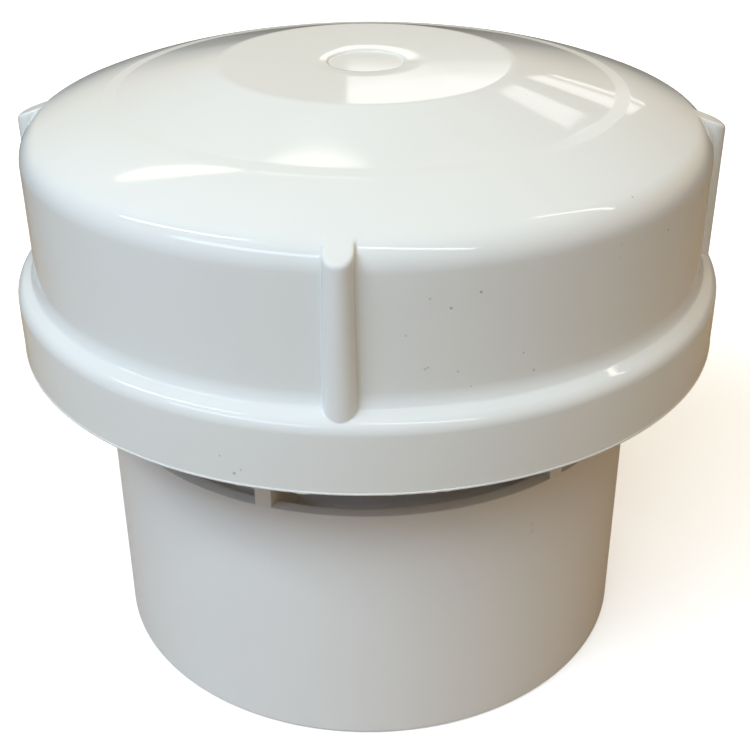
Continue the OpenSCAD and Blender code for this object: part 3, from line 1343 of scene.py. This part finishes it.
@dataclass
class Studio:
    """The pale floor, the soft room light and the camera."""

    camera_place: Place = (-39.38, -235.06, 185.04)
    yaw: float = -9.85
    pitch: float = 29.338
    roll: float = -0.283
    lens: float = 60.363
    sensor: float = 36.0
    aim: Place = (0.0, 0.0, 100.0)
    floor_r: float = 4000.0
    floor_shown: Colour = (0.96, 0.96, 0.96)
    tint_reach: Point = (0.2, 0.6)
    glow_reach: Point = (0.3, 1.5)
    glow: Point = (0.34, 1.0)
    high_way: Point = (0.2, 0.9)
    right_way: Point = (-0.3, 0.8)
    back_way: Point = (0.3, 0.9)
    low_way: Point = (0.0, 0.15)
    zenith: Colour = (0.08, 0.065, 0.05)
    left: Colour = (0.05, 0.06, 0.08)
    right: Colour = (0.48, 0.25, 0.09)
    back: Colour = (0.42, 0.33, 0.23)
    horizon: Colour = (0.13, 0.115, 0.10)
    ground: Colour = (0.42, 0.325, 0.22)
    far_ground: Colour = (0.10, 0.095, 0.09)
    lamps: tuple[Lamp, ...] = field(default_factory=tuple)

    def camera(self) -> None:
        """Sets the camera up at the photograph's viewing angle."""
        eye = bpy.data.objects.new("camera", bpy.data.cameras.new("camera"))
        eye.data.lens = self.lens
        eye.data.sensor_width = self.sensor
        eye.data.clip_start = 0.01
        turn = Matrix.Rotation(math.radians(self.yaw), 4, "Z")
        tilt = Matrix.Rotation(math.radians(90.0 - self.pitch), 4, "X")
        twist = Matrix.Rotation(math.radians(self.roll), 4, "Z")
        eye.matrix_world = Matrix.Translation(Vector(self.camera_place) * MM) @ turn @ tilt @ twist
        bpy.context.scene.collection.objects.link(eye)
        bpy.context.scene.camera = eye

    def floor(self) -> None:
        """Lays the pale floor, which is open to view from below."""
        bm = bmesh.new()
        bmesh.ops.create_circle(bm, cap_ends=True, segments=96, radius=self.floor_r * MM)
        ground = as_object(bm, "floor")
        pale, graph = new_material("pale_floor")
        seen = graph.add("LightPath").outputs["Is Camera Ray"]
        back = graph.add("NewGeometry").outputs["Backfacing"]
        reach = graph.length(graph.place)
        tint = graph.mixed(graph.ranged(reach, self.tint_reach, UNIT), self.ground, self.far_ground)
        paint = graph.add("BsdfDiffuse", {"Color": graph.mixed(seen, tint, self.floor_shown)})
        shine = graph.math("MULTIPLY", seen, graph.ranged(reach, self.glow_reach, self.glow))
        glow = graph.add("Emission", {"Color": (*WHITE, 1.0), "Strength": shine})
        lit = graph.add("AddShader", {0: paint.outputs[0], 1: glow.outputs[0]})
        clear = graph.add("BsdfTransparent")
        one_sided = graph.add("MixShader", {0: back, 1: lit.outputs[0], 2: clear.outputs[0]})
        graph.add("OutputMaterial", {"Surface": one_sided.outputs[0]})
        ground.data.materials.append(pale)

    def room(self) -> None:
        """Lights the world as a soft room and shows it white to the camera."""
        world = bpy.data.worlds.new("room")
        world.use_nodes = True
        bpy.context.scene.world = world
        graph = Graph(world.node_tree)
        way = graph.add("SeparateXYZ", {0: graph.coords["Generated"]})
        height = graph.ranged(way.outputs[2], self.high_way, UNIT)
        across = graph.ranged(way.outputs[0], self.right_way, UNIT)
        behind = graph.ranged(way.outputs[1], self.back_way, UNIT)
        sides = graph.mixed(behind, graph.mixed(across, self.left, self.right), self.back)
        low = graph.ranged(way.outputs[2], self.low_way, UNIT)
        light = graph.mixed(height, graph.mixed(low, self.horizon, sides), self.zenith)
        seen = graph.add("LightPath").outputs["Is Camera Ray"]
        shown = graph.mixed(seen, light, WHITE)
        sky = graph.add("Background", {"Color": shown, "Strength": 1.0})
        graph.add("OutputWorld", {"Surface": sky.outputs[0]})

    def build(self) -> None:
        """Sets up the whole studio."""
        bpy.context.scene.view_settings.view_transform = "Standard"
        self.camera()
        self.floor()
        self.room()
        aim = Vector(self.aim) * MM
        for lamp in self.lamps:
            lamp.build(aim)


WALL_R, SKIRT_R, SPIGOT_R = CapForm.cap_r, CapForm.skirt_r, BodyForm.spigot_r
WALL_MARKS = (
    (-84.3, 101.5, 0.32), (-88.4, 99.3, 0.32), (-91.3, 101.2, 0.3, 0.3), (-77.5, 89.5, 0.25, 0.4),
    (-75.7, 85.9, 0.28, 0.45), (-91.8, 89.0, 0.3, 0.35), (-91.4, 89.2, 0.28, 0.35),
    (-87.2, 88.0, 0.28, 0.3), (-85.2, 85.0, 0.2, 0.4), (-94.5, 95.1, 0.3, 0.25),
    (-49.9, 102.7, 0.32, 0.5), (-61.4, 104.0, 0.5, 0.1), (-61.4, 101.9, 0.5, 0.08),
)
CAP_MARKS = (
    *(Mark(turn, WALL_R, *rest) for turn, *rest in WALL_MARKS),
    Mark(-57.2, 63.8, 110.3, 0.25, 0.5),
    Mark(-117.9, SKIRT_R, 70.2, 0.4, 0.55),
    Mark(-116.9, SKIRT_R, 71.1, 0.3, 0.4),
)
BAND_LOW = CapForm.band[1] - 1.0
CAP_PVC = MouldedPlastic(
    "polished_pvc", colour=(0.80, 0.805, 0.775), cloud=(0.785, 0.793, 0.765), gloss=(0.045, 0.08),
    marks=CAP_MARKS, frosting=Frosting(CapForm.band_in[0], CapForm.band[0], BAND_LOW, 0.24),
)
BURRS = (
    Burr(-117.5, 1.6, 0.12), Burr(-108.5, 3.2, 0.2), Burr(-96.5, 1.2, 0.12),
    Burr(-91.0, 1.0, 0.1), Burr(-89.0, 1.4, 0.14), Burr(-66.1, 1.6, 0.12),
)
BODY_PVC = MouldedPlastic(
    "satin_pvc", colour=(0.83, 0.832, 0.82), cloud=(0.818, 0.82, 0.808), gloss=(0.29, 0.36),
    wave_depth=0.012, grain_depth=0.0,
    marks=(Mark(-65.6, SPIGOT_R, 42.6, 0.7, 0.12), Mark(-65.7, SPIGOT_R, 44.2, 0.6, 0.09)),
)
CARRIER_PLASTIC = MouldedPlastic(
    "matt_plastic", colour=(0.34, 0.345, 0.35), cloud=(0.30, 0.305, 0.31), gloss=(0.38, 0.5),
    speck_share=0.0,
)
RUBBER = MouldedRubber(
    "matt_rubber", colour=(0.012, 0.012, 0.013), bloom=(0.024, 0.024, 0.025), gloss=(0.55, 0.72)
)

# Each lamp: name, azimuth and elevation in degrees, size in millimetres, watts, colour.
LAMPS = (
    Lamp("overhead", 0.0, 89.0, (1900.0, 1600.0), 2.6, (1.45, 1.0, 0.05), mirrored=False),
    Lamp("front_fill", -35.0, 52.0, (1500.0, 500.0), 14.0, (0.86, 1.0, 1.1), mirrored=False),
    Lamp("left_fill", -75.0, 42.0, (1200.0, 500.0), 3.6, (0.78, 1.0, 1.38), mirrored=False),
    Lamp("right_fill", 100.0, 72.0, (1000.0, 500.0), 2.0, (1.13, 1.0, 0.82), mirrored=False),
    Lamp("back_fill", 190.0, 22.0, (1200.0, 500.0), 3.6, mirrored=False),
    Lamp("bore", 0.0, -90.0, (80.0, 80.0), 0.018, distance=98.0, mirrored=False, shape=LampShape.OVAL),
    Lamp("left_tube", -86.5, 46.2, (930.0, 60.0), 2.4, (0.92, 1.0, 1.05), roll=39.7),
    Lamp("front_tube", 11.0, 48.0, (950.0, 100.0), 2.1, (0.95, 1.0, 1.0), roll=-46.0),
    Lamp("left_window", -50.0, 31.5, (1180.0, 200.0), 2.6, (0.74, 1.0, 1.4)),
    Lamp("back_window", 167.0, 19.35, (225.0, 153.0), 0.135),
    Lamp("side_window_edge", 150.1, 14.8, (165.0, 26.0), 0.02),
    Lamp("side_window_low", 150.1, 18.2, (165.0, 95.0), 0.06),
    Lamp("side_window_high", 150.6, 27.8, (105.0, 150.0), 0.06),
    Lamp("back_strip", 197.6, 41.2, (430.0, 111.0), 0.33, (1.0, 0.92, 0.62),
         roll=-19.0, shape=LampShape.OVAL),
    Lamp("back_strip_end", 178.0, 46.9, (320.0, 24.0), 0.07, (1.0, 0.96, 0.8),
         roll=-21.0, shape=LampShape.OVAL),
    Lamp("right_strip", 105.5, 49.4, (805.0, 45.0), 0.8, (1.0, 0.96, 0.8), roll=39.8),
)


def main() -> None:
    """Builds the studio and the valve, piece by piece."""
    logging.basicConfig(level=logging.INFO, format="%(name)s: %(message)s")
    Studio(lamps=LAMPS).build()
    BodyForm(BODY_PVC).build()
    CapForm(CAP_PVC, BURRS).build()
    DiscForm(RUBBER, CARRIER_PLASTIC).build()


if __name__ == "__main__":
    main()
